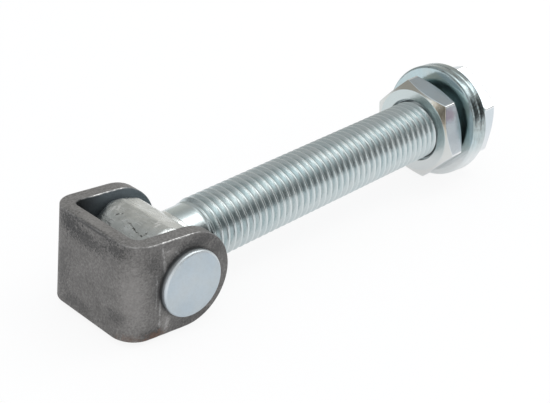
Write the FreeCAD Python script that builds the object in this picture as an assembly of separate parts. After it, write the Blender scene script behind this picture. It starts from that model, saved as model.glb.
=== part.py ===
import FreeCAD, Part
import math
import os

from FreeCAD import Vector

# Adjustable weld-on gate hinge: a folded flat-bar bracket, a riveted hinge pin,
# a forged eye bolt and two nuts with two plain washers on its thread.
# All lengths are in millimetres and all angles in degrees.
# The origin is the centre of the weld face. +X runs along the bolt from the pin
# to the nuts, +Y along the pin and +Z is up with the hinge lying on a table.

# Threaded bolt
THREAD_DIAMETER = 20.0
THREAD_PITCH = 2.5
NECK_DIAMETER = 18.4
NECK_LENGTH = 3.4
BOLT_REACH = 142.2
TIP_CHAMFER = 1.6

# Forged eye
EYE_DIAMETER = 26.0
EYE_WIDTH = 26.6
EYE_EDGE_ROUND = 3.4
EYE_NECK_BLEND = 0.8
EYE_BORE_PLAY = 0.08

# Folded bracket
BAR_WIDTH = 29.0
BAR_THICKNESS = 4.6
BAR_EDGE_ROUND = 0.35
BEND_RADIUS = 2.6
EYE_SIDE_PLAY = 0.8
EYE_WEB_GAP = 2.4
BRACKET_SWING = 7.0

# Hinge pin
PIN_DIAMETER = 14.0
PIN_FIT_PLAY = 0.04
HEAD_DIAMETER = 20.0
HEAD_HEIGHT = 2.4
HEAD_EDGE_ROUND = 0.8
TAIL_DIAMETER = 17.0
TAIL_HEIGHT = 1.6
TAIL_TOP_DIAMETER = 12.0

# Nuts
NUT_ACROSS_FLATS = 30.0
NUT_THICKNESS = 8.0
NUT_CHAMFER_ANGLE = 30.0
NUT_FACE_DIAMETER = 28.5
NUT_THREAD_PLAY = 0.15
NUT_MOUTH_DEPTH = 1.2
NUT_TIP_LENGTH = 2.4
INNER_NUT_TURN = 14.4
OUTER_NUT_TURN = 36.1

# Washers
WASHER_DIAMETER = 38.0
WASHER_BOLT_PLAY = 2.0
WASHER_THICKNESS = 3.0
WASHER_EDGE_ROUND = 0.6
WASHER_LEAN = 6.0
WASHER_NUT_GAP = 0.1

# Sizes that follow from the ones above
EAR_RADIUS = BAR_WIDTH / 2
EAR_GAP = EYE_WIDTH + 2 * EYE_SIDE_PLAY
BRACKET_WIDTH = EAR_GAP + 2 * BAR_THICKNESS
WEB_REACH = EYE_DIAMETER / 2 + EYE_WEB_GAP + BAR_THICKNESS
THREAD_START = EYE_DIAMETER / 2 + NECK_LENGTH
WASHER_BORE = THREAD_DIAMETER + WASHER_BOLT_PLAY
LEAN_COSINE = math.cos(math.radians(WASHER_LEAN))
LEAN_TANGENT = math.tan(math.radians(WASHER_LEAN))
NUT_SPACE = 2 * WASHER_THICKNESS / LEAN_COSINE + NUT_FACE_DIAMETER * LEAN_TANGENT + 2 * WASHER_NUT_GAP
OUTER_NUT_START = BOLT_REACH - NUT_TIP_LENGTH - NUT_THICKNESS
WASHER_JOINT = OUTER_NUT_START - NUT_SPACE / 2
INNER_NUT_START = OUTER_NUT_START - NUT_SPACE - NUT_THICKNESS

# How closely an edge has to match the place it is looked for
EDGE_MATCH = 0.01

ALONG_BOLT = Vector(1, 0, 0)
ALONG_PIN = Vector(0, 1, 0)
CENTRE = Vector(0, 0, 0)


def turned(profile, axis):
    """Turn a closed outline of (reach along the axis, radius) pairs into a solid."""
    across = Vector(0, 0, 1)
    points = [axis * reach + across * radius for reach, radius in profile]
    outline = Part.makePolygon(points + points[:1])
    return Part.Face(outline).revolve(CENTRE, axis, 360)


def rod(diameter, start, end, axis):
    """A plain round bar between two reaches along an axis through the pin centre."""
    return Part.makeCylinder(diameter / 2, end - start, axis * start, axis)


def round_edges(shape, radius, wanted):
    """Round every edge of a shape that the test function wants."""
    edges = [edge for edge in shape.Edges if wanted(edge)]
    return shape.makeFillet(radius, edges)


def is_upright(edge):
    """An edge that runs along Z."""
    first = edge.valueAt(edge.FirstParameter)
    last = edge.valueAt(edge.LastParameter)
    return abs((last - first).z) > edge.Length * (1 - EDGE_MATCH)


def bracket_fold():
    """The flat bar folded into a U, with square ends, before the ears are shaped."""
    half = BAR_WIDTH / 2
    length = WEB_REACH + EAR_RADIUS
    outside = Part.makeBox(length, BRACKET_WIDTH, BAR_WIDTH,
                           Vector(-WEB_REACH, -BRACKET_WIDTH / 2, -half))
    inside = Part.makeBox(length, EAR_GAP, BAR_WIDTH,
                          Vector(-WEB_REACH + BAR_THICKNESS, -EAR_GAP / 2, -half))
    outside = round_edges(outside, BEND_RADIUS + BAR_THICKNESS,
                          lambda edge: is_upright(edge) and edge.CenterOfMass.x < 0)
    inside = round_edges(inside, BEND_RADIUS,
                         lambda edge: is_upright(edge) and edge.CenterOfMass.x < 0)
    return outside.cut(inside)


def ear_outline():
    """Both ears end in a half round about the pin, as wide as the bar."""
    straight = Part.makeBox(WEB_REACH, BRACKET_WIDTH, BAR_WIDTH,
                            Vector(-WEB_REACH, -BRACKET_WIDTH / 2, -EAR_RADIUS))
    nose = rod(BAR_WIDTH, -BRACKET_WIDTH / 2, BRACKET_WIDTH / 2, ALONG_PIN)
    return straight.fuse(nose).removeSplitter()


def weld_bracket():
    """The folded bracket with both pin holes, web end lifted as it lies."""
    bar = bracket_fold().common(ear_outline()).removeSplitter()
    bar = round_edges(bar, BAR_EDGE_ROUND, lambda edge: not is_upright(edge))
    hole = rod(PIN_DIAMETER + 2 * PIN_FIT_PLAY, -BRACKET_WIDTH, BRACKET_WIDTH, ALONG_PIN)
    bracket = bar.cut(hole)
    bracket.rotate(CENTRE, ALONG_PIN, BRACKET_SWING)
    return bracket


def hinge_pin():
    """A flat-headed pin through both ears, peened to a low cone at its tail."""
    ear = BRACKET_WIDTH / 2
    head = rod(HEAD_DIAMETER, -ear - HEAD_HEIGHT, -ear, ALONG_PIN)
    head = round_edges(head, HEAD_EDGE_ROUND,
                       lambda edge: edge.Closed and edge.CenterOfMass.y < -ear - HEAD_HEIGHT / 2)
    shank = rod(PIN_DIAMETER, -ear, ear, ALONG_PIN)
    tail = turned([(ear, 0), (ear, TAIL_DIAMETER / 2), (ear + TAIL_HEIGHT, TAIL_TOP_DIAMETER / 2),
                   (ear + TAIL_HEIGHT, 0)], ALONG_PIN)
    return head.fuse([shank, tail]).removeSplitter()


def eye_barrel():
    """The upset end of the bolt: a round barrel about the pin with soft forged rims."""
    barrel = rod(EYE_DIAMETER, -EYE_WIDTH / 2, EYE_WIDTH / 2, ALONG_PIN)
    return round_edges(barrel, EYE_EDGE_ROUND, lambda edge: edge.Closed)


def eye_bolt():
    """The forged eye, its neck and the shank at the thread's outer diameter."""
    neck = rod(NECK_DIAMETER, 0, THREAD_START, ALONG_BOLT)
    forging = eye_barrel().fuse(neck).removeSplitter()
    forging = round_edges(forging, EYE_NECK_BLEND, is_neck_seam)
    neck_radius = NECK_DIAMETER / 2
    thread_radius = THREAD_DIAMETER / 2
    thread = turned([(THREAD_START, 0), (THREAD_START, neck_radius),
                     (THREAD_START + THREAD_PITCH, thread_radius),
                     (BOLT_REACH - TIP_CHAMFER, thread_radius),
                     (BOLT_REACH, thread_radius - TIP_CHAMFER), (BOLT_REACH, 0)], ALONG_BOLT)
    bore = rod(PIN_DIAMETER + 2 * EYE_BORE_PLAY, -EYE_WIDTH, EYE_WIDTH, ALONG_PIN)
    return forging.fuse(thread).removeSplitter().cut(bore)


def is_neck_seam(edge):
    """The curve where the neck leaves the eye barrel."""
    middle = edge.valueAt((edge.FirstParameter + edge.LastParameter) / 2)
    off_axis = math.hypot(middle.y, middle.z)
    on_neck = abs(off_axis - NECK_DIAMETER / 2) < EDGE_MATCH
    return on_neck and 0 < middle.x < THREAD_START - EDGE_MATCH


def nut(start, turn):
    """A hexagon nut chamfered on both faces, with a countersunk bore."""
    corner = NUT_ACROSS_FLATS / 2 / math.cos(math.radians(30))
    rim = NUT_FACE_DIAMETER / 2
    slope = (corner - rim) * math.tan(math.radians(NUT_CHAMFER_ANGLE))
    corners = [Vector(start, corner * math.cos(math.radians(turn + 60 * side)),
                      corner * math.sin(math.radians(turn + 60 * side))) for side in range(6)]
    hexagon = Part.Face(Part.makePolygon(corners + corners[:1])).extrude(ALONG_BOLT * NUT_THICKNESS)
    end = start + NUT_THICKNESS
    crown = turned([(start, 0), (start, rim), (start + slope, corner), (end - slope, corner),
                    (end, rim), (end, 0)], ALONG_BOLT)
    bore = THREAD_DIAMETER / 2 + NUT_THREAD_PLAY
    mouth = bore + NUT_MOUTH_DEPTH * math.tan(math.radians(NUT_CHAMFER_ANGLE))
    hole = turned([(start, 0), (start, mouth), (start + NUT_MOUTH_DEPTH, bore),
                   (end - NUT_MOUTH_DEPTH, bore), (end, mouth), (end, 0)], ALONG_BOLT)
    return hexagon.common(crown).cut(hole)


def washer(start):
    """A plain stamped washer that leans between the nuts, top away from the eye."""
    disc = rod(WASHER_DIAMETER, start, start + WASHER_THICKNESS, ALONG_BOLT)
    disc = round_edges(disc, WASHER_EDGE_ROUND, lambda edge: edge.Closed)
    ring = disc.cut(rod(WASHER_BORE, start, start + WASHER_THICKNESS, ALONG_BOLT))
    ring.rotate(ALONG_BOLT * WASHER_JOINT, ALONG_PIN, WASHER_LEAN)
    return ring


def seat(shape):
    """Move a piece from the pin centre to the origin at the centre of the weld face."""
    swing = math.radians(BRACKET_SWING)
    shape.translate(Vector(WEB_REACH * math.cos(swing), 0, -WEB_REACH * math.sin(swing)))
    return shape


pieces = {
    "weld_bracket": weld_bracket(),
    "hinge_pin": hinge_pin(),
    "eye_bolt": eye_bolt(),
    "inner_nut": nut(INNER_NUT_START, INNER_NUT_TURN),
    "inner_washer": washer(WASHER_JOINT - WASHER_THICKNESS),
    "outer_washer": washer(WASHER_JOINT),
    "outer_nut": nut(OUTER_NUT_START, OUTER_NUT_TURN),
}

os.makedirs("parts", exist_ok=True)
for name, shape in pieces.items():
    solid = seat(shape).Solids[0]
    solid.exportStep("parts/" + name + ".step")
    print(name, len(shape.Solids), solid.isValid(), round(solid.Volume, 1))
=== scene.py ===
import math

import bmesh
import bpy
from mathutils import Matrix, Quaternion, Vector, noise


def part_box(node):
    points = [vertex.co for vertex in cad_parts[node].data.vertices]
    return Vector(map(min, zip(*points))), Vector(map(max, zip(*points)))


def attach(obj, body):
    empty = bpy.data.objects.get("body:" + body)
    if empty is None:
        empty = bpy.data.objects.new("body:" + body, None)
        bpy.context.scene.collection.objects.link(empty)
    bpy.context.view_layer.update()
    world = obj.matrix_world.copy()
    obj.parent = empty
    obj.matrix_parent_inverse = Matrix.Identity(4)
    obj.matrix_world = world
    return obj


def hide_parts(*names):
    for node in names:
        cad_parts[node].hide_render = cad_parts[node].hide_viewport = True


# Looks of the adjustable weld-on gate hinge: a bare steel bracket, a plated pin,
# a forged eye bolt with a rolled thread, two nuts and two washers.
# Shapes are drawn in millimetres about the pin centre, bolt along +X, pin along +Y,
# and moved into the frame in metres when they are finished.

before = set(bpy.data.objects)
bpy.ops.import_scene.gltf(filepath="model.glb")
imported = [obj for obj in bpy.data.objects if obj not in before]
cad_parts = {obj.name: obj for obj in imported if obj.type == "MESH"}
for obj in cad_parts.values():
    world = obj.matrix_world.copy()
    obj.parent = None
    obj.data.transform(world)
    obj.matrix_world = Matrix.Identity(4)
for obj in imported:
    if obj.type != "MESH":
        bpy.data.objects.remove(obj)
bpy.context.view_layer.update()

MM = 0.001
pin_low, pin_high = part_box("hinge_pin")
PIN_CENTRE = Vector(((pin_low.x + pin_high.x) / 2, 0, (pin_low.z + pin_high.z) / 2)) / MM

# Rolled thread
THREAD_RADIUS = 10.0
THREAD_PITCH = 2.5
THREAD_DEPTH = 1.48
THREAD_START = 16.4
RUN_OUT = 1.8
BOLT_REACH = 142.2
TIP_CHAMFER = 1.6
NECK_RADIUS = 9.2
NECK_ROOT = 7.7
NECK_LIP = 0.12
TURN_STEPS = 80
JOIN_DISTANCE = 0.0005

# Forged eye
EYE_RADIUS = 13.0
EYE_WIDTH = 26.6
EYE_EDGE_ROUND = 3.4
EYE_BORE = 7.08
EYE_MOUTH_ROUND = 0.4
EYE_STEPS = 180
EYE_FACE_STEPS = 44
EYE_RIM_STEPS = 10
EYE_MOUTH_STEPS = 4

# Hammer flats of the eye: turn round the pin in degrees, lean along the pin, reach from its centre
EYE_FLATS = [
    (71, 0.0, 12.5), (46, -0.03, 12.25), (94, 0.03, 12.86), (122, -0.04, 12.84), (22, 0.06, 12.85),
    (150, 0.03, 12.8), (178, 0.03, 12.82), (206, 0.0, 12.85), (235, 0.04, 12.8), (270, -0.03, 12.84),
    (305, 0.02, 12.8), (98, -0.69, 16.55), (79, -0.67, 16.6),
]
FLAT_PRESS = 0.85

# Swollen place on the eye's far rim
SHOULDER_TURN = 98.0
SHOULDER_SPREAD = 16.0
SHOULDER_REACH = 11.8
SHOULDER_LENGTH = 3.5
SHOULDER_HEIGHT = 0.7
SHOULDER_LEAN = 0.8

# Unevenness of the forging, which fades out towards the bore
BROAD_LUMP_RATE = 0.22
BROAD_LUMP_HEIGHT = 0.14
SMALL_LUMP_RATE = 0.7
SMALL_LUMP_HEIGHT = 0.05
FORGING_LOSS = 0.1
FORGING_FADE = 2

# Nuts
NUT_FLAT_RADIUS = 15.0
NUT_THICKNESS = 8.0
NUT_RIM_RADIUS = 14.25
NUT_CHAMFER_ANGLE = 30.0
NUT_BORE = 10.15
NUT_MOUTH_DEPTH = 1.2
NUT_SIDE_STEPS = 12
NUT_EDGE_ROUND = 0.22
NUT_EDGE_ANGLE = 18
NUT_EDGE_SEGMENTS = 3
INNER_NUT_TURN = 14.4
OUTER_NUT_TURN = 36.1

# Washers
WASHER_RADIUS = 19.0
WASHER_BORE = 11.0
WASHER_THICKNESS = 3.0
WASHER_LEAN = 6.0
WASHER_FACE_ROUND = 0.85
WASHER_BACK_ROUND = 0.35
WASHER_BORE_ROUND = 0.3
WASHER_STEPS = 144
WASHER_RIM_STEPS = 8
WASHER_BORE_STEPS = 4

# Bracket
BRACKET_SWING = 7.0
BAR_HALF = 14.5
BAR_THICKNESS = 4.6
BEND_OUTSIDE = 7.2
EAR_FACE = 18.7
WEB_REACH = 20.0
HEAD_RADIUS = 10.0
HEAD_TOP = 21.1
POCKET_BACK = -14.0
POCKET_FRONT = -3.0

# Worn edges of the ears, with a painted highlight on the strong stretch: where it starts, is full, fades
# and ends, along the ears from the pin
NEAR_WEAR_AND_HIGHLIGHT = (-16.0, -12.5, 0.0, 3.5)
FAR_WEAR_AND_HIGHLIGHT = (-11.5, -8.5, 1.5, 4.0)
EDGE_LINE_WIDTH = 0.42
EDGE_LINE_CORE = 0.16
WEAR_AND_HIGHLIGHT_STRONG = 0.75
WEAR_FAINT = 0.2

# Marks on the bracket: places along the ears from the pin and up, or across the web and up
EAR_SCORES = [
    ((-9.9, 12.7), (-9.3, 9.3), 0.55), ((-9.3, 9.3), (-8.6, 4.5), 0.6),
    ((-8.6, 4.5), (-9.0, 0.0), 0.5), ((-9.8, -2.8), (-9.4, -7.6), 0.55),
    ((-9.4, -7.6), (-9.5, -11.3), 0.5), ((-8.8, 11.5), (-7.6, 11.4), 0.5),
    ((-5.3, 10.5), (-3.8, 9.1), 0.5), ((-6.5, -9.5), (-7.3, -13.1), 0.9),
    ((-11.3, 5.0), (-10.9, -6.0), 0.3),
]
WEB_SOOT = [
    ((1.5, 9.9), (4, 12, 3.4), 0.7), ((-11.0, 12.0), (4, 6.5, 2.8), 0.7),
    ((9.0, 11.8), (4, 7.5, 3.8), 0.8), ((-12.5, -7.7), (4, 5.0, 2.6), 0.45),
    ((12.0, -3.0), (4, 5.0, 8.0), 0.35), ((4.0, -11.5), (4, 9.0, 3.0), 0.4),
]
EAR_SOOT = [
    ((-10.5, 2.0), (3.0, 3, 11), 0.25), ((2.5, 11.3), (9, 3, 2.8), 0.6),
    ((-12.0, -12.8), (5, 3, 2.2), 0.6), ((9.5, 7.5), (4, 3, 4), 0.45),
    ((-13.0, 9.0), (3, 3, 4), 0.45), ((3.0, -12.2), (8, 3, 2.0), 0.35),
]
EAR_RUBS = [((-7.4, -10.6), (2.2, 3, 3.6)), ((-7.4, 11.0), (3.0, 3, 1.5)), ((-8.6, 6.5), (0.9, 3, 3.5))]
BRACKET_RUST = [((-11.0, -EAR_FACE, -13.6), (5, 4, 1.8), 0.55), ((-17.0, -15.0, -13.5), (4, 5, 2.0), 0.3)]
# Colour of rubbed places on the near ear, also used for a painted highlight on the near bend and painted
# light on the web's top face
RUBBED_AND_LIT_STEEL = (0.33, 0.318, 0.306, 1)
SOOT = (0.045, 0.045, 0.046, 1)
RUST = (0.17, 0.085, 0.05, 1)

# Marks on the eye, through points about the pin centre
EYE_CRACK = [(-4.9, 0.8, 12.1), (-5.9, -4.4, 11.6), (-6.2, -6.5, 11.4), (-4.7, -7.3, 12.1)]
EYE_PITS = [
    [(-4.9, 6.4, 12.0), (-4.6, 6.1, 12.1)],
    [(-4.3, 6.1, 12.1), (-4.1, 5.7, 12.2)],
    [(-3.7, 5.4, 12.2), (-3.5, 5.0, 12.3)],
]
# Bright scratches; the last two are also painted glints
EYE_STROKES_AND_GLINTS = [
    [(-3.8, 9.2, 12.2), (-2.6, 9.6, 12.4)],
    [(-3.0, 8.0, 12.3), (-1.8, 8.6, 12.5)],
    [(-0.8, -6.2, 12.7), (0.6, -6.1, 12.7)],
    [(-1.7, -7.2, 12.6), (-0.2, -7.2, 12.7)],
]

# Marks on the nuts and washers, at places in the frame in millimetres
STRAW_PLACE = (135, -12.5, 7)
BROWN_PLACE = (135, 4, 13)
PURPLE_PLACE = (137, -13, 6.9)
SHEARED_PLACE = (148.5, -16.5, 5.5)
# Painted light: the outer nut's flats are made paler past these places
OUTER_NUT_FROM = 147.0
OUTER_NUT_FULL = 149.0
# Painted highlight on the nut corners, past these distances from the bolt's axis
NUT_CORNER_FROM = 16.95
NUT_CORNER_FULL = 17.15
# Painted light: plating grows paler towards the low side, between these heights
PALE_FROM = -1.0
PALE_FULL = -12.0
PALE_PAINTED_LIGHT = (0.86, 0.86, 0.86, 1)
UPPER_RIM_FROM = -10.0
UPPER_RIM_FULL = 4.0
WASHER_FACE_ROUGHNESS = 0.19
WASHER_RIM_ROUGHNESS = 0.22

# Camera, as the photograph was taken
CAMERA_PLACE = Vector((-154.53, -232.63, 182.12)) * MM
CAMERA_AIM = Vector((86.02, 16.27, -18.33)) * MM
CAMERA_ROLL = 0.669
CAMERA_LENS = 79.44
CAMERA_SENSOR = 36.0
CAMERA_NEAR = 0.01

# The hinge lies on its ears and on the rims of the washers
bracket_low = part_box("weld_bracket")[0]
washer_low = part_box("inner_washer")[0]
FLOOR_PLACE = Vector((PIN_CENTRE.x * MM, 0, bracket_low.z))
FLOOR_SLOPE = math.atan2(bracket_low.z - washer_low.z, washer_low.x - FLOOR_PLACE.x)
FLOOR_HALF = 3.0
FLOOR_SEEN = 0.88
FLOOR_MIRRORED = 0.5

# Reflected room: an even grey, lighter and warmer at the back, with a bright ceiling and
# two dark places, on the left and at the front right.
# A side has its direction, the cosines where it starts and where it is full, and its level.
ROOM_RADIUS = 2.5
ROOM_LEVEL = 0.47
BACK_SIDE = Vector((0.6, 0.79, 0.05)).normalized()
CEILING_SIDE = Vector((0.3, -0.2, 0.93)).normalized()
LEFT_SIDE = Vector((-0.96, -0.27, 0.02)).normalized()
DARK_SIDE = Vector((0.57, -0.78, 0.22)).normalized()
ROOM_SIDES = [
    (BACK_SIDE, 0.85, 0.99, 0.64), (CEILING_SIDE, 0.77, 0.95, 1.1),
    (LEFT_SIDE, 0.9, 0.97, 0.08), (DARK_SIDE, 0.8, 0.95, 0.06),
]
LAMP_AIM = Vector((0.08, 0, 0))


# Drawing helpers

def join_rings(shape, rings):
    """Join closed rings of points, the last one to the first, into one closed surface."""
    for near, far in zip(rings, rings[1:] + rings[:1]):
        for place in range(len(near)):
            after = (place + 1) % len(near)
            shape.faces.new((near[place], near[after], far[after], far[place]))
    bmesh.ops.recalc_face_normals(shape, faces=shape.faces)


def lathe(profile, axis, steps):
    """A closed outline of (reach, radius) pairs turned about an axis, as a mesh."""
    shape = bmesh.new()
    across = Vector((0, 0, 1))
    rings = []
    for step in range(steps):
        side = Quaternion(axis, 2 * math.pi * step / steps) @ across
        rings.append([shape.verts.new(axis * reach + side * radius) for reach, radius in profile])
    join_rings(shape, rings)
    return shape


def bolt_column(shape, angle, points, start=0.0):
    """One row of (reach, radius) points of a shape round the bolt's axis, at one angle."""
    return [shape.verts.new((start + reach, radius * math.cos(angle), radius * math.sin(angle)))
            for reach, radius in points]


def corner_arc(reach, radius, size, start, end, steps):
    """Points of a rounded corner about (reach, radius), from one angle to another in degrees."""
    points = []
    for step in range(steps + 1):
        angle = math.radians(start + (end - start) * step / steps)
        points.append((reach + size * math.cos(angle), radius + size * math.sin(angle)))
    return points


def new_object(name, shape, material):
    """Turn a drawn mesh into an object with one material."""
    mesh = bpy.data.meshes.new(name)
    shape.to_mesh(mesh)
    shape.free()
    mesh.materials.append(material)
    made = bpy.data.objects.new(name, mesh)
    bpy.context.scene.collection.objects.link(made)
    return made


def finish_piece(name, shape, body, node, material):
    """Turn a drawn mesh into a piece of the object that stands for one CAD node."""
    piece = new_object(name, shape, material)
    piece.data.transform(Matrix.Translation(PIN_CENTRE))
    piece.data.transform(Matrix.Scale(MM, 4))
    for face in piece.data.polygons:
        face.use_smooth = True
    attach(piece, body)
    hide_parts(node)
    return piece


def soften_edges(piece):
    """Round the sharp edges of a nut and keep its flats flat in the shading."""
    bevel = piece.modifiers.new("rounded_edges", "BEVEL")
    bevel.width = NUT_EDGE_ROUND * MM
    bevel.segments = NUT_EDGE_SEGMENTS
    bevel.limit_method = "ANGLE"
    bevel.angle_limit = math.radians(NUT_EDGE_ANGLE)
    flats = piece.modifiers.new("flat_faces", "WEIGHTED_NORMAL")
    flats.keep_sharp = False
    flats.weight = 100


# Node helpers

def feed(tree, made, inputs):
    """Set or wire the inputs of a node."""
    for key, value in inputs.items():
        socket = made.inputs[key]
        if isinstance(value, bpy.types.NodeSocket):
            tree.links.new(value, socket)
        else:
            socket.default_value = value


def put(tree, kind, inputs=None, **settings):
    """Add a shader node, set its options, and set or wire its inputs."""
    made = tree.nodes.new("ShaderNode" + kind)
    for key, value in settings.items():
        setattr(made, key, value)
    feed(tree, made, inputs or {})
    return made


def calc(tree, operation, first, second=0.0, clamp=False):
    """A sum on two values or sockets."""
    return put(tree, "Math", {0: first, 1: second}, operation=operation, use_clamp=clamp).outputs[0]


def times(tree, first, second):
    """The product of two values or sockets."""
    return calc(tree, "MULTIPLY", first, second)


def vector_calc(tree, operation, first, second):
    """A sum on two vectors or sockets."""
    return put(tree, "VectorMath", {0: first, 1: second}, operation=operation).outputs[0]


def scaled(tree, vector, factor):
    """A vector made longer by a factor."""
    return put(tree, "VectorMath", {0: vector, "Scale": factor}, operation="SCALE").outputs[0]


def dot_product(tree, first, second):
    """How far one vector reaches along another."""
    return put(tree, "VectorMath", {0: first, 1: second}, operation="DOT_PRODUCT").outputs["Value"]


def vector_length(tree, vector):
    """The length of a vector."""
    return put(tree, "VectorMath", {0: vector}, operation="LENGTH").outputs["Value"]


def length_of(tree, first, second):
    """The length of the hypotenuse over two values."""
    return vector_length(tree, put(tree, "CombineXYZ", {0: first, 1: second}).outputs[0])


def blend_colour(tree, amount, first, second):
    """Mix two colours by an amount that changes over the surface."""
    return put(tree, "Mix", {0: amount, 6: first, 7: second}, data_type="RGBA").outputs[2]


def blend_value(tree, amount, first, second):
    """Mix two values by an amount that changes over the surface."""
    return put(tree, "Mix", {0: amount, 2: first, 3: second}, data_type="FLOAT").outputs[0]


def stain(tree, colour, mask, strength, stain_colour):
    """Turn a colour towards another one where a mask is set."""
    return blend_colour(tree, times(tree, mask, strength), colour, stain_colour)


def ramp_value(tree, value, low, high):
    """Stretch a value so that low becomes 0 and high becomes 1."""
    stretch = put(tree, "MapRange", {0: value, 1: low, 2: high}, interpolation_type="SMOOTHSTEP")
    return stretch.outputs[0]


def between(tree, value, start, full, fading, end):
    """A mask that rises from start to full and falls again from fading to end."""
    return times(tree, ramp_value(tree, value, start, full), ramp_value(tree, value, end, fading))


def new_group(name, inputs, outputs):
    """A shader node group with named inputs and outputs."""
    group = bpy.data.node_groups.new(name, "ShaderNodeTree")
    for title, kind, value in inputs:
        socket = group.interface.new_socket(name=title, in_out="INPUT", socket_type="NodeSocket" + kind)
        socket.default_value = value
    for title, kind in outputs:
        group.interface.new_socket(name=title, in_out="OUTPUT", socket_type="NodeSocket" + kind)
    start = group.nodes.new("NodeGroupInput")
    end = group.nodes.new("NodeGroupOutput")
    return group, start.outputs, end.inputs


def use_group(tree, group, inputs=None):
    """Place a node group in a material."""
    made = tree.nodes.new("ShaderNodeGroup")
    made.node_tree = group
    feed(tree, made, inputs or {})
    return made.outputs


def place_in_mm(tree):
    """The point on the surface in millimetres, in the frame the hinge rests in."""
    return scaled(tree, put(tree, "TexCoord").outputs["Object"], 1 / MM)


def place_along(tree, axis):
    """One coordinate of the point on the surface, in millimetres."""
    return put(tree, "SeparateXYZ", {0: place_in_mm(tree)}).outputs[axis]


def off_bolt_axis(tree):
    """How far a point lies from the bolt's axis, in millimetres."""
    up = calc(tree, "SUBTRACT", place_along(tree, "Z"), PIN_CENTRE.z)
    return length_of(tree, place_along(tree, "Y"), up)


def past_pin(tree):
    """How far a point lies past the pin's centre along the bolt, in millimetres."""
    return calc(tree, "SUBTRACT", place_along(tree, "X"), PIN_CENTRE.x)


def off_pin_axis(tree):
    """How far a point lies from the pin's axis, in millimetres."""
    up = calc(tree, "SUBTRACT", place_along(tree, "Z"), PIN_CENTRE.z)
    return length_of(tree, past_pin(tree), up)


# Effects that the finishes share

def mottle_group():
    """Cloudy light and dark areas of a given size."""
    group, given, result = new_group(
        "mottle",
        [("Size", "Float", 5.0), ("Detail", "Float", 3.0), ("Shift", "Float", 0.0),
         ("Contrast", "Float", 0.25)],
        [("Mask", "Float")])
    scale = calc(group, "DIVIDE", 1.0, given["Size"])
    cloud = put(group, "TexNoise", {"Vector": place_in_mm(group), "W": given["Shift"], "Scale": scale,
                                    "Detail": given["Detail"], "Roughness": 0.6}, noise_dimensions="4D")
    low = calc(group, "SUBTRACT", 0.5, given["Contrast"])
    high = calc(group, "ADD", 0.5, given["Contrast"])
    group.links.new(ramp_value(group, cloud.outputs[0], low, high), result["Mask"])
    return group


def grain_group():
    """Fine surface grain as a height, with the same grain as a speck mask."""
    group, given, result = new_group(
        "fine_grain",
        [("Size", "Float", 0.4), ("Sharp", "Float", 0.55)],
        [("Height", "Float"), ("Specks", "Float")])
    place = place_in_mm(group)
    fine = calc(group, "DIVIDE", 1.0, given["Size"])
    coarse = calc(group, "DIVIDE", fine, 3.1)
    small = put(group, "TexNoise", {"Vector": place, "Scale": fine, "Detail": 3.0,
                                    "Roughness": given["Sharp"]})
    large = put(group, "TexNoise", {"Vector": place, "Scale": coarse, "Detail": 2.0, "Roughness": 0.5})
    height = blend_value(group, 0.45, small.outputs[0], large.outputs[0])
    group.links.new(height, result["Height"])
    group.links.new(ramp_value(group, height, 0.42, 0.62), result["Specks"])
    return group


def patch_group():
    """A soft stain of a given place and reach, with a ragged border."""
    group, given, result = new_group(
        "stain_patch",
        [("Centre", "Vector", (0, 0, 0)), ("Reach", "Vector", (5, 5, 5)), ("Ragged", "Float", 0.5),
         ("Grain", "Float", 2.0)],
        [("Mask", "Float")])
    place = place_in_mm(group)
    offset = vector_calc(group, "SUBTRACT", place, given["Centre"])
    distance = vector_length(group, vector_calc(group, "DIVIDE", offset, given["Reach"]))
    scale = calc(group, "DIVIDE", 1.0, given["Grain"])
    cloud = put(group, "TexNoise", {"Vector": place, "Scale": scale, "Detail": 4.0, "Roughness": 0.65})
    wander = times(group, calc(group, "SUBTRACT", cloud.outputs[0], 0.5), given["Ragged"])
    reach = calc(group, "ADD", distance, times(group, wander, 4.0))
    group.links.new(ramp_value(group, reach, 1.0, 0.25), result["Mask"])
    return group


def line_group():
    """A thin mark along a straight line between two points."""
    group, given, result = new_group(
        "line_mark",
        [("From", "Vector", (0, 0, 0)), ("To", "Vector", (1, 0, 0)), ("Width", "Float", 0.3),
         ("Wander", "Float", 0.3), ("Squash", "Vector", (1, 1, 1))],
        [("Mask", "Float")])
    place = place_in_mm(group)
    cloud = put(group, "TexNoise", {"Vector": place, "Scale": 0.9, "Detail": 2.0})
    shake = vector_calc(group, "SUBTRACT", cloud.outputs[1], (0.5, 0.5, 0.5))
    place = vector_calc(group, "ADD", place, scaled(group, shake, given["Wander"]))
    span = vector_calc(group, "SUBTRACT", given["To"], given["From"])
    offset = vector_calc(group, "SUBTRACT", place, given["From"])
    along = dot_product(group, offset, span)
    share = calc(group, "DIVIDE", along, dot_product(group, span, span), clamp=True)
    apart = vector_calc(group, "SUBTRACT", offset, scaled(group, span, share))
    distance = vector_length(group, vector_calc(group, "MULTIPLY", apart, given["Squash"]))
    group.links.new(ramp_value(group, distance, given["Width"], 0.0), result["Mask"])
    return group


def scratch_group():
    """Thin handling scratches that run along one direction."""
    group, given, result = new_group(
        "scratches",
        [("Stretch", "Vector", (1, 1, 1)), ("Amount", "Float", 0.6), ("Shift", "Float", 0.0)],
        [("Mask", "Float")])
    place = vector_calc(group, "MULTIPLY", place_in_mm(group), given["Stretch"])
    lines = put(group, "TexNoise", {"Vector": place, "W": given["Shift"], "Scale": 1.0, "Detail": 1.5,
                                    "Roughness": 0.5}, noise_dimensions="4D")
    low = calc(group, "SUBTRACT", 0.78, times(group, given["Amount"], 0.2))
    group.links.new(ramp_value(group, lines.outputs[0], low, calc(group, "ADD", low, 0.05)), result["Mask"])
    return group


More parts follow.
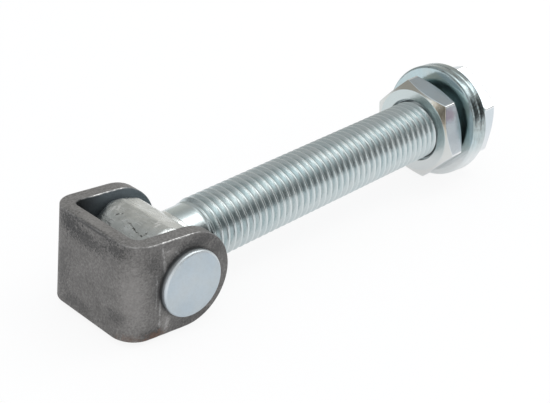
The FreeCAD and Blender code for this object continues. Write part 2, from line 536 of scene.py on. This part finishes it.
def wear_and_highlight_line(tree, off_edge, ear, along, stretch):
    """Wear along an edge of the bar, faint elsewhere and strong on a stretch of one ear, where it is also a
    painted highlight.
    """
    strong = times(tree, times(tree, ear, between(tree, along, *stretch)), WEAR_AND_HIGHLIGHT_STRONG)
    line = ramp_value(tree, off_edge, EDGE_LINE_WIDTH, EDGE_LINE_CORE)
    return times(tree, line, calc(tree, "ADD", strong, WEAR_FAINT))


def folded_bar_group():
    """Masks that follow the folded bar: edge wear that carries a painted highlight, inner faces, cut faces,
    and the ring round the pin's head for its painted shadow.
    """
    group, _, result = new_group(
        "folded_bar",
        [],
        [("Along", "Float"), ("Outer", "Float"), ("Inner", "Float"), ("Inside", "Float"), ("Cut", "Float"),
         ("Head shadow", "Float")])
    offset = vector_calc(group, "SUBTRACT", place_in_mm(group), tuple(PIN_CENTRE))
    turn = {"Vector": offset, "Axis": (0, 1, 0), "Angle": -math.radians(BRACKET_SWING)}
    level = put(group, "VectorRotate", turn, rotation_type="AXIS_ANGLE").outputs[0]
    along, across, up = put(group, "SeparateXYZ", {0: level}).outputs
    nose = calc(group, "MAXIMUM", along, 0.0)
    rim = calc(group, "SUBTRACT", BAR_HALF, length_of(group, nose, up))
    side = calc(group, "ABSOLUTE", across)
    back = calc(group, "SUBTRACT", BEND_OUTSIDE - WEB_REACH, along)
    wide = calc(group, "SUBTRACT", side, EAR_FACE - BEND_OUTSIDE)
    bend = length_of(group, calc(group, "MAXIMUM", back, 0.0), calc(group, "MAXIMUM", wide, 0.0))
    flat = calc(group, "MINIMUM", calc(group, "MAXIMUM", back, wide), 0.0)
    depth = calc(group, "SUBTRACT", BEND_OUTSIDE, calc(group, "ADD", bend, flat))
    outer = calc(group, "MAXIMUM", rim, depth)
    inner = calc(group, "MAXIMUM", rim, calc(group, "SUBTRACT", BAR_THICKNESS, depth))
    # painted shadow on the near ear round the pin's head
    ring = ramp_value(group, length_of(group, along, up), HEAD_RADIUS + 0.9, HEAD_RADIUS + 0.1)
    near = calc(group, "LESS_THAN", across, 0.0)
    far = calc(group, "SUBTRACT", 1.0, near)
    group.links.new(along, result["Along"])
    group.links.new(wear_and_highlight_line(group, outer, near, along, NEAR_WEAR_AND_HIGHLIGHT), result["Outer"])
    group.links.new(wear_and_highlight_line(group, inner, far, along, FAR_WEAR_AND_HIGHLIGHT), result["Inner"])
    group.links.new(ramp_value(group, depth, BAR_THICKNESS - 0.4, BAR_THICKNESS - 0.1), result["Inside"])
    group.links.new(ramp_value(group, rim, 0.35, 0.1), result["Cut"])
    group.links.new(times(group, ring, near), result["Head shadow"])
    return group


MOTTLE = mottle_group()
GRAIN = grain_group()
PATCH = patch_group()
LINE = line_group()
SCRATCHES = scratch_group()
FOLDED_BAR = folded_bar_group()


def clouds(tree, size, detail, contrast, shift=0.0):
    """A mask of cloudy areas."""
    given = {"Size": size, "Detail": detail, "Shift": shift, "Contrast": contrast}
    return use_group(tree, MOTTLE, given)["Mask"]


def patch(tree, centre, reach, ragged, grain=2.0):
    """A mask of one stain."""
    given = {"Centre": centre, "Reach": reach, "Ragged": ragged, "Grain": grain}
    return use_group(tree, PATCH, given)["Mask"]


def line_mark(tree, start, end, width, wander, squash):
    """A mask of one thin mark."""
    given = {"From": start, "To": end, "Width": width, "Wander": wander, "Squash": squash}
    return use_group(tree, LINE, given)["Mask"]


def scratches(tree, stretch, amount, shift):
    """A mask of thin scratches."""
    return use_group(tree, SCRATCHES, {"Stretch": stretch, "Amount": amount, "Shift": shift})["Mask"]


# Finishes

def new_material(name):
    """An empty material with a Principled shader."""
    material = bpy.data.materials.new(name)
    material.use_nodes = True
    tree = material.node_tree
    return material, tree, tree.nodes["Principled BSDF"]


def bump(tree, shader, height, depth):
    """Feed a height, as a share of a depth in millimetres, to the shader's normal."""
    made = put(tree, "Bump", {"Height": height, "Distance": depth * MM, "Strength": 1.0})
    tree.links.new(made.outputs[0], shader.inputs["Normal"])


def on_bracket(along, across, up):
    """A point given along the ears from the pin, across them and up, in the resting frame."""
    swing = Matrix.Rotation(math.radians(BRACKET_SWING), 3, "Y")
    return tuple(PIN_CENTRE + swing @ Vector((along, across, up)))


def smudge(tree, colour, centre, reach, strength, stain_colour, ragged=0.9, grain=0.55):
    """Stain a colour at one place with a ragged border."""
    return stain(tree, colour, patch(tree, centre, reach, ragged, grain), strength, stain_colour)


def ear_scores(tree):
    """The bright scratches on the near ear, as one mask."""
    marks = 0.0
    for (along, up), (along_end, up_end), width in EAR_SCORES:
        start = on_bracket(along, -EAR_FACE, up)
        end = on_bracket(along_end, -EAR_FACE, up_end)
        score = line_mark(tree, start, end, width, wander=0.9, squash=(1, 0.25, 1))
        marks = calc(tree, "MAXIMUM", marks, score)
    broken = clouds(tree, size=1.0, detail=4.0, contrast=0.2, shift=5.0)
    return times(tree, marks, broken)


def bracket_dirt(tree, colour):
    """Painted highlight at the near bend, painted light on the web's top face, soot on the web and the near
    ear, rust under the near ear.
    """
    # painted highlight on the near bend
    bend = on_bracket(2.5 - WEB_REACH, 2.5 - EAR_FACE, -1.0)
    colour = smudge(tree, colour, bend, (6, 6, 15), 0.45, RUBBED_AND_LIT_STEEL, ragged=0.4)
    # painted light on the web's top face
    top_face = on_bracket(2.3 - WEB_REACH, 2.0, BAR_HALF)
    colour = smudge(tree, colour, top_face, (3.5, 15, 1.2), 0.45, RUBBED_AND_LIT_STEEL, ragged=0.4)
    top_edge = on_bracket(-WEB_REACH, -1.0, BAR_HALF - 0.3)
    colour = smudge(tree, colour, top_edge, (1.3, 16, 1.1), 0.75, SOOT, ragged=0.3)
    for (across, up), reach, strength in WEB_SOOT:
        colour = smudge(tree, colour, on_bracket(-WEB_REACH, across, up), reach, strength, SOOT)
    for (along, up), reach, strength in EAR_SOOT:
        colour = smudge(tree, colour, on_bracket(along, -EAR_FACE, up), reach, strength, SOOT)
    for place, reach, strength in BRACKET_RUST:
        colour = smudge(tree, colour, on_bracket(*place), reach, strength, RUST, ragged=0.6, grain=1.0)
    return colour


def raw_steel():
    """Bare hot-rolled steel with grey scale, dark smudges, bright edge wear and a little rust; painted
    light on the cut faces and the web's top, a painted highlight on the near bend and along the edge wear,
    painted shade in the pocket and a painted shadow round the pin's head.
    """
    material, tree, shader = new_material("raw_steel")
    bar = use_group(tree, FOLDED_BAR)
    cloud = clouds(tree, size=6.0, detail=5.0, contrast=0.2)
    speckle = clouds(tree, size=0.8, detail=4.0, contrast=0.16, shift=3.0)
    pepper = clouds(tree, size=0.6, detail=4.0, contrast=0.14, shift=9.0)
    chips = clouds(tree, size=1.2, detail=3.0, contrast=0.14, shift=12.0)
    grain = use_group(tree, GRAIN, {"Size": 0.34, "Sharp": 0.65})
    colour = blend_colour(tree, cloud, (0.12, 0.116, 0.112, 1), (0.225, 0.218, 0.211, 1))
    # painted light: the cut faces, the tops among them, are made lighter
    colour = stain(tree, colour, bar["Cut"], 0.7, (0.33, 0.322, 0.318, 1))
    colour = stain(tree, colour, speckle, 0.45, (0.31, 0.3, 0.29, 1))
    colour = stain(tree, colour, pepper, 0.55, (0.095, 0.09, 0.086, 1))
    colour = bracket_dirt(tree, colour)
    # painted shade inside the pocket, near black at the back and blue-grey at the front
    forward = ramp_value(tree, bar["Along"], POCKET_BACK, POCKET_FRONT)
    pocket_shade = blend_colour(tree, forward, (0.018, 0.02, 0.022, 1), (0.16, 0.19, 0.21, 1))
    colour = stain(tree, colour, bar["Inside"], 0.92, pocket_shade)
    # painted shadow on the near ear round the pin's head
    colour = stain(tree, colour, bar["Head shadow"], 0.3, (0.03, 0.032, 0.034, 1))
    for (along, up), reach in EAR_RUBS:
        colour = smudge(tree, colour, on_bracket(along, -EAR_FACE, up), reach, 0.5, RUBBED_AND_LIT_STEEL)
    scores = ear_scores(tree)
    # edge wear, with a painted highlight on one stretch of each ear
    wear_and_highlight = calc(tree, "MAXIMUM", bar["Outer"], bar["Inner"])
    wear_and_highlight = times(tree, wear_and_highlight, calc(tree, "ADD", times(tree, chips, 0.85), 0.15))
    marks = calc(tree, "MAXIMUM", times(tree, scores, 0.3), wear_and_highlight)
    colour = stain(tree, colour, marks, 0.95, (0.9, 0.89, 0.88, 1))
    tree.links.new(colour, shader.inputs["Base Color"])
    rough = blend_value(tree, cloud, 0.46, 0.58)
    tree.links.new(blend_value(tree, marks, rough, 0.3), shader.inputs["Roughness"])
    tree.links.new(blend_value(tree, wear_and_highlight, 0.7, 1.0), shader.inputs["Metallic"])
    height = calc(tree, "ADD", grain["Height"], times(tree, speckle, 0.5))
    height = calc(tree, "SUBTRACT", height, times(tree, scores, 0.8))
    bump(tree, shader, height, 0.07)
    return material


def plated(name, base, tint, warm, rough, grain_size, grain_depth):
    """Zinc plating with faint blue-green and straw clouds; its colour is returned, not yet wired."""
    material, tree, shader = new_material(name)
    cool = clouds(tree, size=9.0, detail=3.0, contrast=0.2)
    straw = clouds(tree, size=6.0, detail=2.0, contrast=0.15, shift=7.0)
    grain = use_group(tree, GRAIN, {"Size": grain_size, "Sharp": 0.6})
    colour = stain(tree, base, cool, 0.6, tint)
    colour = stain(tree, colour, straw, 0.35, warm)
    colour = stain(tree, colour, grain["Specks"], 0.15, (0.4, 0.43, 0.44, 1))
    tree.links.new(blend_value(tree, cool, rough, rough + 0.08), shader.inputs["Roughness"])
    shader.inputs["Metallic"].default_value = 1.0
    bump(tree, shader, grain["Height"], grain_depth)
    return material, tree, shader, colour


def pin_zinc():
    """Dull plating on the pin, with a painted highlight on the upper rim of its head, and painted shade
    with dirt on the head's side wall by the ear.
    """
    material, tree, shader, colour = plated(
        "zinc_pin", base=(0.54, 0.61, 0.66, 1), tint=(0.52, 0.6, 0.66, 1), warm=(0.58, 0.61, 0.61, 1),
        rough=0.42, grain_size=0.3, grain_depth=0.01)
    across = place_along(tree, "Y")
    # painted shade and dirt on the head's side wall next to the ear
    corner = ramp_value(tree, across, -HEAD_TOP + 0.9, -HEAD_TOP + 1.9)
    corner = times(tree, corner, calc(tree, "LESS_THAN", across, 0.0))
    # painted highlight on the upper side of the head's rim
    rim = ramp_value(tree, off_pin_axis(tree), HEAD_RADIUS - 0.75, HEAD_RADIUS - 0.35)
    upper = ramp_value(tree, place_along(tree, "Z"), PIN_CENTRE.z - 3.0, PIN_CENTRE.z + 6.0)
    colour = stain(tree, colour, times(tree, rim, upper), 0.75, (0.88, 0.92, 0.94, 1))
    colour = stain(tree, colour, corner, 0.8, (0.05, 0.052, 0.055, 1))
    tree.links.new(colour, shader.inputs["Base Color"])
    return material


def paler_below_as_painted_light(tree, colour, amount):
    """Painted light: plating made paler towards the low side of the hinge."""
    low = ramp_value(tree, place_along(tree, "Z"), PALE_FROM, PALE_FULL)
    return stain(tree, colour, low, amount, PALE_PAINTED_LIGHT)


def nut_zinc():
    """Plating on the nuts: bluish flats, greener faces, straw and purple stains, with painted highlights on
    the corners and chamfer borders and painted light on the outer nut's flats and the low side.
    """
    material, tree, shader, flat = plated(
        "zinc_nut", base=(0.51, 0.575, 0.615, 1), tint=(0.45, 0.53, 0.59, 1), warm=(0.51, 0.52, 0.52, 1),
        rough=0.2, grain_size=0.4, grain_depth=0.03)
    facing = put(tree, "SeparateXYZ", {0: put(tree, "TexCoord").outputs["Normal"]}).outputs["X"]
    facing = calc(tree, "ABSOLUTE", facing)
    chamfer = ramp_value(tree, facing, 0.55, 0.8)
    face = ramp_value(tree, facing, 0.9, 0.97)
    border = between(tree, facing, 0.15, 0.5, 0.6, 0.84)
    edge = ramp_value(tree, off_bolt_axis(tree), NUT_CORNER_FROM, NUT_CORNER_FULL)
    outer = ramp_value(tree, place_along(tree, "X"), OUTER_NUT_FROM, OUTER_NUT_FULL)
    # painted light: the outer nut's flats are made paler
    flat = stain(tree, flat, outer, 0.6, (0.74, 0.8, 0.83, 1))
    purple = patch(tree, PURPLE_PLACE, (5, 3.5, 3.4), ragged=0.25)
    flat = stain(tree, flat, purple, 0.7, (0.36, 0.27, 0.33, 1))
    browned = times(tree, patch(tree, BROWN_PLACE, (8, 11, 6), ragged=0.15), 0.6)
    browned = calc(tree, "MAXIMUM", patch(tree, STRAW_PLACE, (8, 9, 9), ragged=0.15), browned)
    straw = blend_colour(tree, browned, (0.64, 0.66, 0.64, 1), (0.52, 0.47, 0.38, 1))
    colour = blend_colour(tree, chamfer, flat, straw)
    colour = blend_colour(tree, face, colour, (0.6, 0.665, 0.665, 1))
    # painted light, paler towards the low side
    colour = paler_below_as_painted_light(tree, colour, 0.55)
    # painted highlights on the nut corners and along the borders of the chamfers
    bright = calc(tree, "MAXIMUM", times(tree, edge, 0.8), times(tree, border, 0.35))
    colour = blend_colour(tree, bright, colour, (0.92, 0.93, 0.93, 1))
    tree.links.new(colour, shader.inputs["Base Color"])
    return material


def washer_zinc():
    """Plating on the stamped washers, mirror-like on the face and torn along the sheared rim, with painted
    light on the low side.
    """
    material, tree, shader, colour = plated(
        "zinc_washer", base=(0.54, 0.66, 0.69, 1), tint=(0.42, 0.57, 0.6, 1), warm=(0.57, 0.59, 0.54, 1),
        rough=WASHER_FACE_ROUGHNESS, grain_size=0.5, grain_depth=0.03)
    # painted light, paler towards the low side
    colour = paler_below_as_painted_light(tree, colour, 0.7)
    rim = ramp_value(tree, off_bolt_axis(tree), WASHER_RADIUS - 0.7, WASHER_RADIUS - 0.3)
    upper = ramp_value(tree, place_along(tree, "Z"), UPPER_RIM_FROM, UPPER_RIM_FULL)
    streaks = times(tree, scratches(tree, (3.2, 0.4, 0.4), amount=1.15, shift=2.0), upper)
    nicks = scratches(tree, (0.8, 1.8, 1.8), amount=1.5, shift=5.0)
    sheared = patch(tree, SHEARED_PLACE, (6, 9, 12), ragged=0.3)
    torn = calc(tree, "MAXIMUM", streaks, times(tree, nicks, sheared))
    colour = stain(tree, colour, times(tree, rim, upper), 0.35, (0.33, 0.35, 0.35, 1))
    colour = stain(tree, colour, times(tree, torn, rim), 0.7, (0.21, 0.215, 0.21, 1))
    tree.links.new(colour, shader.inputs["Base Color"])
    rough = blend_value(tree, rim, WASHER_FACE_ROUGHNESS, WASHER_RIM_ROUGHNESS)
    tree.links.new(rough, shader.inputs["Roughness"])
    return material


def eye_marks(tree, lines, width, wander):
    """Thin marks on the eye, each through its points about the pin centre, as one mask."""
    marks = 0.0
    for points in lines:
        for start, end in zip(points, points[1:]):
            begin = tuple(PIN_CENTRE + Vector(start))
            stop = tuple(PIN_CENTRE + Vector(end))
            line = line_mark(tree, begin, stop, width, wander, squash=(1, 1, 0.25))
            marks = calc(tree, "MAXIMUM", marks, line)
    return marks


def eye_crack(tree):
    """The broken dark crack and the pits on the eye, as one mask; their darkness is partly painted shade.
    """
    crack = eye_marks(tree, [EYE_CRACK], width=0.24, wander=1.5)
    pits = eye_marks(tree, EYE_PITS, width=0.34, wander=0.8)
    broken = clouds(tree, size=0.9, detail=2.0, contrast=0.12, shift=8.0)
    dark = calc(tree, "MAXIMUM", crack, pits)
    return calc(tree, "MULTIPLY", dark, calc(tree, "ADD", broken, 0.35), clamp=True)


def forged_zinc():
    """Plating over the rough forged eye, smooth and bright along the thread, with painted highlights on the
    crests, painted shade in the grooves, painted light on the eye's half towards the thread and painted
    glints among its scratches.
    """
    material, tree, shader = new_material("zinc_bolt")
    shank = ramp_value(tree, off_pin_axis(tree), EYE_RADIUS + 0.1, EYE_RADIUS + 0.3)
    off_bolt = off_bolt_axis(tree)
    crest = ramp_value(tree, off_bolt, THREAD_RADIUS - 0.3, THREAD_RADIUS - 0.04)
    groove_shade = ramp_value(tree, off_bolt, THREAD_RADIUS - 0.7 * THREAD_DEPTH, THREAD_RADIUS - THREAD_DEPTH)
    cool = clouds(tree, size=8.0, detail=3.0, contrast=0.2)
    scale = clouds(tree, size=2.4, detail=5.0, contrast=0.18, shift=4.0)
    drawn = scratches(tree, (1.6, 0.22, 1.6), amount=1.1, shift=6.0)
    grain = use_group(tree, GRAIN, {"Size": 0.5, "Sharp": 0.65})
    bright = stain(tree, (0.65, 0.7, 0.705, 1), cool, 0.6, (0.555, 0.65, 0.668, 1))
    # painted highlight along the crests, painted shade in the grooves
    bright = stain(tree, bright, crest, 0.4, (0.86, 0.9, 0.9, 1))
    bright = stain(tree, bright, groove_shade, 0.2, (0.34, 0.37, 0.35, 1))
    dull = blend_colour(tree, scale, (0.53, 0.545, 0.53, 1), (0.71, 0.73, 0.72, 1))
    # painted light: the eye is lighter on its half towards the thread
    painted_light_band = ramp_value(tree, past_pin(tree), 0.2, 1.6)
    dull = stain(tree, dull, painted_light_band, 0.6, (0.93, 0.95, 0.93, 1))
    dull = stain(tree, dull, drawn, 0.5, (0.8, 0.82, 0.82, 1))
    colour = blend_colour(tree, shank, dull, bright)
    # bright scratches, two of them also painted glints
    strokes_and_glints = eye_marks(tree, EYE_STROKES_AND_GLINTS, width=0.6, wander=0.6)
    colour = stain(tree, colour, strokes_and_glints, 0.9, (0.97, 0.98, 0.98, 1))
    # dark crack and pits: painted shade in them, with dark scale
    crack = eye_crack(tree)
    colour = stain(tree, colour, crack, 0.7, (0.045, 0.043, 0.035, 1))
    tree.links.new(colour, shader.inputs["Base Color"])
    dull_rough = blend_value(tree, scale, 0.36, 0.25)
    tree.links.new(blend_value(tree, shank, dull_rough, 0.26), shader.inputs["Roughness"])
    shader.inputs["Metallic"].default_value = 1.0
    rough_height = calc(tree, "ADD", grain["Height"], times(tree, scale, 0.7))
    rough_height = calc(tree, "ADD", rough_height, times(tree, drawn, 0.5))
    height = blend_value(tree, shank, rough_height, times(tree, grain["Height"], 0.3))
    height = calc(tree, "SUBTRACT", height, times(tree, crack, 2.0))
    bump(tree, shader, height, 0.1)
    return material


# Pieces

def thread_profile():
    """One pitch of the rolled thread as (share of the pitch, share of the depth below the crest)."""
    crest = [(0.0, 0.045), (0.025, 0.008), (0.0625, 0.0), (0.1, 0.008), (0.125, 0.045)]
    fall = [(0.15, 0.12), (0.395, 0.85)]
    root = [(0.43, 0.94), (0.485, 0.99), (0.5625, 1.0), (0.64, 0.99), (0.695, 0.94)]
    rise = [(0.73, 0.85), (0.975, 0.12)]
    return crest + fall + root + rise


def thread_radius(reach, depth):
    """Radius at a reach along the bolt, with the thread's run-out and the chamfered tip."""
    share = min(1.0, max(0.0, (reach - THREAD_START) / RUN_OUT))
    full = THREAD_RADIUS - depth * THREAD_DEPTH
    radius = NECK_RADIUS + (full - NECK_RADIUS) * share
    tip = THREAD_RADIUS - (reach - BOLT_REACH + TIP_CHAMFER)
    return min(radius, tip)


def rolled_thread():
    """Neck and thread as one sheet whose rows follow the helix, closed inside the eye and at the tip."""
    shape = bmesh.new()
    profile = thread_profile()
    per_turn = len(profile)
    turns = math.ceil((BOLT_REACH - THREAD_START) / THREAD_PITCH) + 2
    neck = (NECK_ROOT, NECK_ROOT + NECK_LIP, THREAD_START - NECK_LIP)
    columns = []
    for step in range(TURN_STEPS + 1):
        points = [(reach, NECK_RADIUS) for reach in neck]
        for row in range(turns * per_turn + 1):
            share, depth = profile[row % per_turn]
            reach = THREAD_START + THREAD_PITCH * (row // per_turn + share - 1 + step / TURN_STEPS)
            reach = min(BOLT_REACH, max(THREAD_START, reach))
            points.append((reach, thread_radius(reach, depth)))
        columns.append(bolt_column(shape, 2 * math.pi * step / TURN_STEPS, points))
    for near, far in zip(columns, columns[1:]):
        for row in range(len(near) - 1):
            shape.faces.new((near[row], near[row + 1], far[row + 1], far[row]))
    bmesh.ops.remove_doubles(shape, verts=shape.verts, dist=JOIN_DISTANCE)
    ends = [edge for edge in shape.edges if edge.is_boundary]
    for edge in ends:
        edge.smooth = False
    bmesh.ops.holes_fill(shape, edges=ends, sides=0)
    bmesh.ops.recalc_face_normals(shape, faces=shape.faces)
    return shape


def eye_outline():
    """Half section of the eye barrel with soft rims and its bore, as (reach along the pin, radius)."""
    half = EYE_WIDTH / 2
    centre = half - EYE_EDGE_ROUND
    outer = EYE_RADIUS - EYE_EDGE_ROUND
    mouth = EYE_MOUTH_ROUND
    near_mouth = corner_arc(-half + mouth, EYE_BORE + mouth, mouth, 180, 270, EYE_MOUTH_STEPS)
    far_mouth = corner_arc(half - mouth, EYE_BORE + mouth, mouth, 270, 360, EYE_MOUTH_STEPS)
    far_rim = corner_arc(centre, outer, EYE_EDGE_ROUND, 0, 90, EYE_RIM_STEPS)
    near_rim = corner_arc(-centre, outer, EYE_EDGE_ROUND, 90, 180, EYE_RIM_STEPS)
    face = [(centre - 2 * centre * step / EYE_FACE_STEPS, EYE_RADIUS) for step in range(1, EYE_FACE_STEPS)]
    return near_mouth + far_mouth + far_rim + face + near_rim


def hammer_flats(point):
    """Press the forged barrel's flats into a point of its surface."""
    moved = point.copy()
    for angle, lean, reach in EYE_FLATS:
        turn = math.radians(angle)
        facing = Vector((math.cos(turn), lean, math.sin(turn))).normalized()
        past = moved.dot(facing) - reach
        if past > 0:
            moved -= facing * past * FLAT_PRESS
    return moved


def forged_shoulder(point):
    """How far the eye's far rim was left swollen at a point of its surface."""
    turn = math.radians(SHOULDER_TURN)
    facing = Vector((math.cos(turn), SHOULDER_LEAN, math.sin(turn))).normalized()
    round_off = (math.degrees(math.atan2(point.z, point.x)) - SHOULDER_TURN) / SHOULDER_SPREAD
    along_off = (point.y - SHOULDER_REACH) / SHOULDER_LENGTH
    return facing * SHOULDER_HEIGHT * math.exp(-round_off ** 2 - along_off ** 2)


def forged_eye():
    """The upset eye, pressed and left slightly uneven as forged, with its bore kept true."""
    shape = lathe(eye_outline(), Vector((0, 1, 0)), EYE_STEPS)
    shape.normal_update()
    for vert in shape.verts:
        off_bore = math.hypot(vert.co.x, vert.co.z) - EYE_BORE - EYE_MOUTH_ROUND
        free = min(1.0, max(0.0, off_bore / FORGING_FADE))
        broad = noise.noise(vert.co * BROAD_LUMP_RATE) * BROAD_LUMP_HEIGHT
        small = noise.noise(vert.co * SMALL_LUMP_RATE) * SMALL_LUMP_HEIGHT
        lump = broad + small - FORGING_LOSS
        pressed = hammer_flats(vert.co + forged_shoulder(vert.co)) + vert.normal * lump
        vert.co = vert.co.lerp(pressed, free)
    return shape


def eye_bolt(material):
    """Forged eye, neck and rolled thread as one piece."""
    shape = forged_eye()
    thread = rolled_thread()
    half = bpy.data.meshes.new("rolled_thread")
    thread.to_mesh(half)
    thread.free()
    shape.from_mesh(half)
    bpy.data.meshes.remove(half)
    finish_piece("plated_eye_bolt", shape, "bolt", "eye_bolt", material)


def hexagon_nut(start, turn):
    """A nut drawn as columns round its axis, so that flats, chamfers and bore meet exactly."""
    shape = bmesh.new()
    steps = 6 * NUT_SIDE_STEPS
    slope = math.tan(math.radians(NUT_CHAMFER_ANGLE))
    mouth = NUT_BORE + NUT_MOUTH_DEPTH * slope
    end = NUT_THICKNESS
    columns = []
    for step in range(steps):
        off_flat = math.radians(60 * (step % NUT_SIDE_STEPS) / NUT_SIDE_STEPS - 30)
        outer = NUT_FLAT_RADIUS / math.cos(off_flat)
        fall = (outer - NUT_RIM_RADIUS) * slope
        front = [(NUT_MOUTH_DEPTH, NUT_BORE), (0, mouth), (0, NUT_RIM_RADIUS), (fall, outer)]
        back = [(end - reach, radius) for reach, radius in reversed(front)]
        columns.append(bolt_column(shape, math.radians(turn + 360 * step / steps), front + back, start))
    join_rings(shape, columns)
    return shape


def nut_piece(node, turn, body, material):
    """One nut in the place of its CAD node."""
    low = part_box(node)[0]
    shape = hexagon_nut(low.x / MM - PIN_CENTRE.x, turn)
    piece = finish_piece("plated_" + node, shape, body, node, material)
    soften_edges(piece)


def washer_outline():
    """Half section of a stamped washer, its punched side, towards the eye, rounder than its back."""
    face = WASHER_FACE_ROUND
    back = WASHER_BACK_ROUND
    bore = WASHER_BORE_ROUND
    half = WASHER_THICKNESS / 2
    points = corner_arc(-half + face, WASHER_RADIUS - face, face, 180, 90, WASHER_RIM_STEPS)
    points += corner_arc(half - back, WASHER_RADIUS - back, back, 90, 0, WASHER_RIM_STEPS)
    points += corner_arc(half - bore, WASHER_BORE + bore, bore, 0, -90, WASHER_BORE_STEPS)
    points += corner_arc(-half + bore, WASHER_BORE + bore, bore, -90, -180, WASHER_BORE_STEPS)
    return points


def washer_piece(node, body, material):
    """One washer, leaning between the nuts, in the place of its CAD node."""
    low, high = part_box(node)
    middle = (low + high) / 2 / MM - PIN_CENTRE
    shape = lathe(washer_outline(), Vector((1, 0, 0)), WASHER_STEPS)
    lean = Matrix.Rotation(math.radians(WASHER_LEAN), 4, "Y")
    bmesh.ops.transform(shape, matrix=Matrix.Translation(middle) @ lean, verts=shape.verts)
    finish_piece("plated_" + node, shape, body, node, material)


# Studio

def empty_tree(owner):
    """The cleared node tree of a material or a world."""
    owner.use_nodes = True
    owner.node_tree.nodes.clear()
    return owner.node_tree


def studio_floor():
    """A plain white table under the hinge that keeps its soft shadow."""
    material = bpy.data.materials.new("studio_floor")
    tree = empty_tree(material)
    ray = put(tree, "LightPath").outputs
    mirrored = calc(tree, "MAXIMUM", ray["Is Glossy Ray"], ray["Is Transmission Ray"])
    seen = times(tree, ray["Is Camera Ray"], FLOOR_SEEN)
    share = calc(tree, "MAXIMUM", seen, times(tree, mirrored, FLOOR_MIRRORED))
    table = put(tree, "BsdfDiffuse", {"Color": (0.9, 0.9, 0.9, 1)})
    glow = put(tree, "Emission", {"Color": (1, 1, 1, 1), "Strength": 1.0})
    mix = put(tree, "MixShader", {0: share, 1: table.outputs[0], 2: glow.outputs[0]})
    put(tree, "OutputMaterial", {"Surface": mix.outputs[0]})
    shape = bmesh.new()
    bmesh.ops.create_grid(shape, x_segments=8, y_segments=8, size=FLOOR_HALF)
    floor = new_object("studio_floor", shape, material)
    floor.location = FLOOR_PLACE
    floor.rotation_euler = (0, FLOOR_SLOPE, 0)


def studio_room():
    """Grey walls, light and dark by their sides, that only show as reflections in the metal."""
    material = bpy.data.materials.new("studio_room")
    tree = empty_tree(material)
    place = put(tree, "TexCoord").outputs["Object"]
    facing = put(tree, "VectorMath", {0: place}, operation="NORMALIZE").outputs[0]
    level = ROOM_LEVEL
    for side, start, full, side_level in ROOM_SIDES:
        share = ramp_value(tree, dot_product(tree, facing, side), start, full)
        level = blend_value(tree, share, level, side_level)
    back = ramp_value(tree, dot_product(tree, facing, BACK_SIDE), 0.5, 0.9)
    tint = blend_colour(tree, back, (0.97, 1.0, 1.0, 1), (1.0, 0.99, 0.94, 1))
    glow = put(tree, "Emission", {"Color": tint, "Strength": level})
    put(tree, "OutputMaterial", {"Surface": glow.outputs[0]})
    shape = bmesh.new()
    bmesh.ops.create_uvsphere(shape, u_segments=48, v_segments=24, radius=ROOM_RADIUS)
    room = new_object("studio_room", shape, material)
    room.visible_camera = False
    room.visible_diffuse = False
    room.visible_shadow = False


def softbox(name, direction, distance, width, height, radiance):
    """A soft rectangular lamp that faces the hinge, as bright as the given radiance."""
    lamp = bpy.data.lights.new(name, "AREA")
    lamp.shape = "RECTANGLE"
    lamp.size = width
    lamp.size_y = height
    lamp.energy = radiance * math.pi * width * height
    box = bpy.data.objects.new(name, lamp)
    bpy.context.scene.collection.objects.link(box)
    out = Vector(direction).normalized()
    box.location = LAMP_AIM + out * distance
    box.rotation_euler = (-out).to_track_quat("-Z", "Y").to_euler()


def studio_world():
    """A white background with an even soft light."""
    world = bpy.data.worlds.new("studio_world")
    bpy.context.scene.world = world
    tree = empty_tree(world)
    ray = put(tree, "LightPath").outputs
    seen = calc(tree, "MAXIMUM", ray["Is Camera Ray"], ray["Is Glossy Ray"])
    seen = calc(tree, "MAXIMUM", seen, ray["Is Transmission Ray"])
    white = put(tree, "Background", {"Color": (1, 1, 1, 1), "Strength": 1.0})
    soft = put(tree, "Background", {"Color": (0.95, 0.97, 1.0, 1), "Strength": 1.0})
    mix = put(tree, "MixShader", {0: seen, 1: soft.outputs[0], 2: white.outputs[0]})
    put(tree, "OutputWorld", {"Surface": mix.outputs[0]})


def photo_camera():
    """The camera at the photograph's place and angle."""
    data = bpy.data.cameras.new("photo_camera")
    data.lens = CAMERA_LENS
    data.sensor_width = CAMERA_SENSOR
    data.sensor_fit = "HORIZONTAL"
    data.clip_start = CAMERA_NEAR
    camera = bpy.data.objects.new("photo_camera", data)
    bpy.context.scene.collection.objects.link(camera)
    camera.location = CAMERA_PLACE
    look = (CAMERA_AIM - CAMERA_PLACE).to_track_quat("-Z", "Y")
    roll = Quaternion((0, 0, 1), math.radians(CAMERA_ROLL))
    camera.rotation_mode = "QUATERNION"
    camera.rotation_quaternion = look @ roll
    bpy.context.scene.camera = camera


def paint_node(name, material):
    """Give a CAD node that stays as it is its finish."""
    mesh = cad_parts[name].data
    mesh.materials.clear()
    mesh.materials.append(material)


paint_node("weld_bracket", raw_steel())
paint_node("hinge_pin", pin_zinc())
eye_bolt(forged_zinc())
nut_finish = nut_zinc()
nut_piece("inner_nut", INNER_NUT_TURN, "inner_screw", nut_finish)
nut_piece("outer_nut", OUTER_NUT_TURN, "outer_screw", nut_finish)
washer_finish = washer_zinc()
washer_piece("inner_washer", "inner_carriage", washer_finish)
washer_piece("outer_washer", "outer_carriage", washer_finish)

studio_floor()
studio_room()
studio_world()
softbox("key_softbox", direction=(0.63, -0.2, 0.75), distance=0.9, width=0.38, height=0.68, radiance=2.0)
softbox("left_softbox", direction=(-0.94, 0.13, 0.3), distance=1.0, width=0.24, height=0.28, radiance=1.8)
softbox("fill_softbox", direction=(-0.7, -0.65, 0.3), distance=1.0, width=0.5, height=0.5, radiance=0.8)
photo_camera()
bpy.context.scene.view_settings.view_transform = "Standard"
